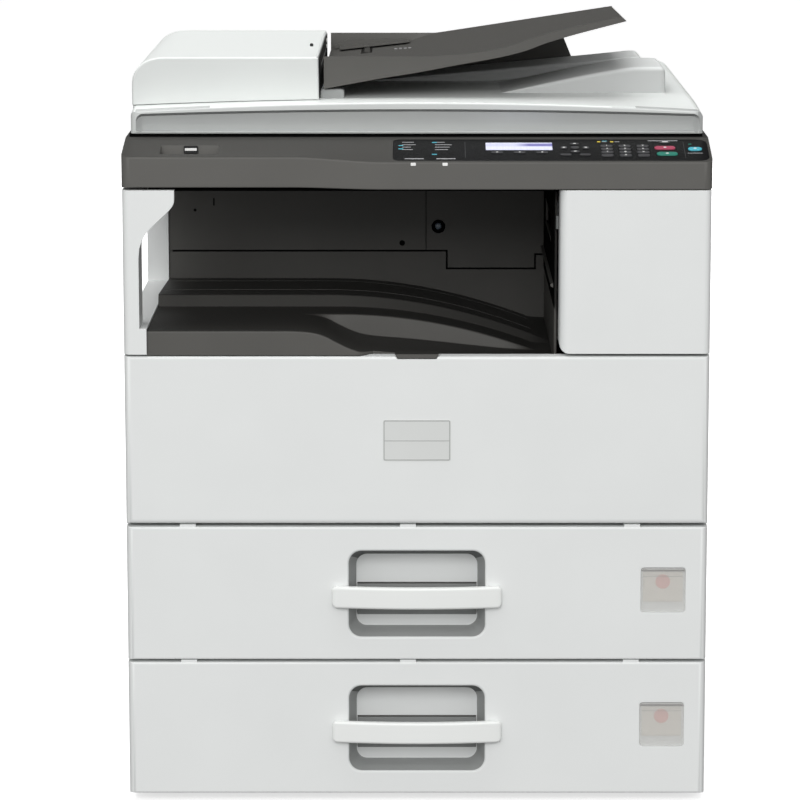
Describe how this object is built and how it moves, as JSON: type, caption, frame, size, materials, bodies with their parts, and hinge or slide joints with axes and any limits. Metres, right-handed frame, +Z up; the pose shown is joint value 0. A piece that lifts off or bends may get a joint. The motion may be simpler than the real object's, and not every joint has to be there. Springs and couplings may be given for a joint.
{
  "type": "photocopier",
  "caption": "Floor-standing office photocopier with a flatbed scanner under a hinged lid and sheet feeder, an output bay and pull-out paper drawers.",
  "frame": {"origin": "on the floor under the middle of the machine", "axes": "+Z up, -Y towards the user, +X to the user's right"},
  "size_m": [0.587, 0.5881, 0.7932],
  "materials": {
    "light_casing": "fine-grained off-white",
    "charcoal_plastic": "fine-grained dark warm grey",
    "bay_plastic": "fine-grained near black",
    "panel_black": "gloss black",
    "frame_steel": "zinc-plated sheet",
    "tray_plastic": "mid grey",
    "white_parts": "white",
    "rubber": "matt",
    "key_grey": "satin",
    "key_green": "satin",
    "key_red": "satin",
    "key_cyan": "satin",
    "screen": "lit liquid crystal display",
    "glass": "clear",
    "clear_plastic": "clear",
    "drum_green": "coated"
  },
  "bodies": {
    "chassis": {"lower_cabinet": "light_casing", "main_frame": "frame_steel", "left_cover": "light_casing", "right_side_panel": "light_casing", "rear_cover": "light_casing", "power_inlet": "panel_black", "upper_front_cover": "light_casing", "output_tray": "bay_plastic", "bay_liner": "bay_plastic", "scanner_housing": "charcoal_plastic", "exposure_glass": "glass", "control_panel": "panel_black", "display": "screen", "lid_hinge_left": "frame_steel", "lid_hinge_right": "frame_steel", "foot_front_left": "rubber", "foot_front_right": "rubber", "foot_rear_left": "rubber", "foot_rear_right": "rubber"},
    "lid": {"platen_lid": "light_casing", "platen_pad": "white_parts"},
    "full_rate_carriage": {"full_rate_carriage": "panel_black"},
    "half_rate_carriage": {"half_rate_carriage": "panel_black"},
    "feeder_cover": {"feeder_cover": "light_casing"},
    "feed_roller": {"feed_roller": "rubber"},
    "document_tray": {"document_tray": "charcoal_plastic"},
    "document_guide_front": {"document_guide_front": "charcoal_plastic"},
    "document_guide_rear": {"document_guide_rear": "charcoal_plastic"},
    "front_cover": {"front_cover": "light_casing"},
    "toner_bottle": {"toner_bottle": "white_parts"},
    "photoconductor_drum": {"photoconductor_drum": "drum_green"},
    "fuser_roller": {"fuser_roller": "panel_black"},
    "right_door": {"right_door": "light_casing"},
    "bypass_tray": {"bypass_tray": "light_casing"},
    "bypass_extension": {"bypass_extension": "tray_plastic"},
    "drawer_1": {"drawer_1_front": "light_casing", "drawer_1_handle": "light_casing", "drawer_1_size_window": "clear_plastic", "drawer_1_paper_box": "tray_plastic"},
    "drawer_1_lift_plate": {"drawer_1_lift_plate": "frame_steel"},
    "drawer_2": {"drawer_2_front": "light_casing", "drawer_2_handle": "light_casing", "drawer_2_size_window": "clear_plastic", "drawer_2_paper_box": "tray_plastic"},
    "drawer_2_lift_plate": {"drawer_2_lift_plate": "frame_steel"},
    "key_1": {"key_1": "key_grey"},
    "key_2": {"key_2": "key_grey"},
    "key_3": {"key_3": "key_grey"},
    "key_4": {"key_4": "key_grey"},
    "key_5": {"key_5": "key_grey"},
    "key_6": {"key_6": "key_grey"},
    "key_7": {"key_7": "key_grey"},
    "key_8": {"key_8": "key_grey"},
    "key_9": {"key_9": "key_grey"},
    "key_star": {"key_star": "key_grey"},
    "key_0": {"key_0": "key_grey"},
    "key_hash": {"key_hash": "key_grey"},
    "key_stop": {"key_stop": "key_red"},
    "key_start": {"key_start": "key_green"},
    "key_power": {"key_power": "key_cyan"}
  },
  "joints": [
    {"name": "lid_hinge", "type": "hinge", "parent": "chassis", "child": "lid", "pos_m": [0, 0.276, 0.69], "axis": [-1, 0, 0], "range_deg": [0, 70]},
    {"name": "feeder_cover_hinge", "type": "hinge", "parent": "lid", "child": "feeder_cover", "pos_m": [-0.289, 0.004, 0.724], "axis": [0, -1, 0], "range_deg": [0, 70]},
    {"name": "feed_roller_turn", "type": "hinge", "parent": "feeder_cover", "child": "feed_roller", "pos_m": [-0.118, 0, 0.736], "axis": [0, 1, 0], "continuous": true},
    {"name": "document_tray_hinge", "type": "hinge", "parent": "lid", "child": "document_tray", "pos_m": [-0.088, 0.004, 0.744], "axis": [0, -1, 0], "range_deg": [0, 35]},
    {"name": "front_guide_slide", "type": "slide", "parent": "document_tray", "child": "document_guide_front", "axis": [0, 1, 0], "range_m": [0, 0.055]},
    {"name": "rear_guide_slide", "type": "slide", "parent": "document_tray", "child": "document_guide_rear", "axis": [0, 1, 0], "range_m": [-0.055, 0]},
    {"name": "full_rate_scan", "type": "slide", "parent": "chassis", "child": "full_rate_carriage", "axis": [1, 0, 0], "range_m": [0, 0.41]},
    {"name": "half_rate_scan", "type": "slide", "parent": "chassis", "child": "half_rate_carriage", "axis": [1, 0, 0], "range_m": [0, 0.205]},
    {"name": "front_cover_hinge", "type": "hinge", "parent": "chassis", "child": "front_cover", "pos_m": [0, -0.274, 0.2963], "axis": [1, 0, 0], "range_deg": [0, 90]},
    {"name": "toner_bottle_turn", "type": "hinge", "parent": "chassis", "child": "toner_bottle", "pos_m": [-0.15, 0, 0.378], "axis": [0, 1, 0], "continuous": true},
    {"name": "drum_turn", "type": "hinge", "parent": "chassis", "child": "photoconductor_drum", "pos_m": [0.205, 0, 0.385], "axis": [0, 1, 0], "continuous": true},
    {"name": "fuser_turn", "type": "hinge", "parent": "chassis", "child": "fuser_roller", "pos_m": [0.214, 0, 0.5], "axis": [0, 1, 0], "continuous": true},
    {"name": "right_door_hinge", "type": "hinge", "parent": "chassis", "child": "right_door", "pos_m": [0.2928, 0.1985, 0.4525], "axis": [0, 0, 1], "range_deg": [0, 80]},
    {"name": "bypass_tray_hinge", "type": "hinge", "parent": "right_door", "child": "bypass_tray", "pos_m": [0.2902, 0, 0.333], "axis": [0, 1, 0], "range_deg": [0, 65]},
    {"name": "bypass_extension_slide", "type": "slide", "parent": "bypass_tray", "child": "bypass_extension", "axis": [0, 0, 1], "range_m": [0, 0.09]},
    {"name": "drawer_1_slide", "type": "slide", "parent": "chassis", "child": "drawer_1", "axis": [0, -1, 0], "range_m": [0, 0.4]},
    {"name": "drawer_1_lift", "type": "hinge", "parent": "drawer_1", "child": "drawer_1_lift_plate", "pos_m": [-0.198, -0.046, 0.1627], "axis": [0, -1, 0], "range_deg": [0, 8]},
    {"name": "drawer_2_slide", "type": "slide", "parent": "chassis", "child": "drawer_2", "axis": [0, -1, 0], "range_m": [0, 0.4]},
    {"name": "drawer_2_lift", "type": "hinge", "parent": "drawer_2", "child": "drawer_2_lift_plate", "pos_m": [-0.198, -0.046, 0.0227], "axis": [0, -1, 0], "range_deg": [0, 8]},
    {"name": "key_1_press", "type": "slide", "parent": "chassis", "child": "key_1", "axis": [0, 0.2472, -0.969], "range_m": [0, 0.001], "stiffness_N_per_m": 400},
    {"name": "key_2_press", "type": "slide", "parent": "chassis", "child": "key_2", "axis": [0, 0.2472, -0.969], "range_m": [0, 0.001], "stiffness_N_per_m": 400},
    {"name": "key_3_press", "type": "slide", "parent": "chassis", "child": "key_3", "axis": [0, 0.2472, -0.969], "range_m": [0, 0.001], "stiffness_N_per_m": 400},
    {"name": "key_4_press", "type": "slide", "parent": "chassis", "child": "key_4", "axis": [0, 0.2472, -0.969], "range_m": [0, 0.001], "stiffness_N_per_m": 400},
    {"name": "key_5_press", "type": "slide", "parent": "chassis", "child": "key_5", "axis": [0, 0.2472, -0.969], "range_m": [0, 0.001], "stiffness_N_per_m": 400},
    {"name": "key_6_press", "type": "slide", "parent": "chassis", "child": "key_6", "axis": [0, 0.2472, -0.969], "range_m": [0, 0.001], "stiffness_N_per_m": 400},
    {"name": "key_7_press", "type": "slide", "parent": "chassis", "child": "key_7", "axis": [0, 0.2472, -0.969], "range_m": [0, 0.001], "stiffness_N_per_m": 400},
    {"name": "key_8_press", "type": "slide", "parent": "chassis", "child": "key_8", "axis": [0, 0.2472, -0.969], "range_m": [0, 0.001], "stiffness_N_per_m": 400},
    {"name": "key_9_press", "type": "slide", "parent": "chassis", "child": "key_9", "axis": [0, 0.2472, -0.969], "range_m": [0, 0.001], "stiffness_N_per_m": 400},
    {"name": "key_star_press", "type": "slide", "parent": "chassis", "child": "key_star", "axis": [0, 0.2472, -0.969], "range_m": [0, 0.001], "stiffness_N_per_m": 400},
    {"name": "key_0_press", "type": "slide", "parent": "chassis", "child": "key_0", "axis": [0, 0.2472, -0.969], "range_m": [0, 0.001], "stiffness_N_per_m": 400},
    {"name": "key_hash_press", "type": "slide", "parent": "chassis", "child": "key_hash", "axis": [0, 0.2472, -0.969], "range_m": [0, 0.001], "stiffness_N_per_m": 400},
    {"name": "key_stop_press", "type": "slide", "parent": "chassis", "child": "key_stop", "axis": [0, 0.2472, -0.969], "range_m": [0, 0.001], "stiffness_N_per_m": 400},
    {"name": "key_start_press", "type": "slide", "parent": "chassis", "child": "key_start", "axis": [0, 0.2472, -0.969], "range_m": [0, 0.001], "stiffness_N_per_m": 400},
    {"name": "key_power_press", "type": "slide", "parent": "chassis", "child": "key_power", "axis": [0, 0.2472, -0.969], "range_m": [0, 0.001], "stiffness_N_per_m": 400}
  ],
  "couplings": [
    {"joint": "half_rate_scan", "follows": "full_rate_scan", "ratio": 0.5},
    {"joint": "rear_guide_slide", "follows": "front_guide_slide", "ratio": -1},
    {"joint": "fuser_turn", "follows": "drum_turn", "ratio": 1}
  ]
}
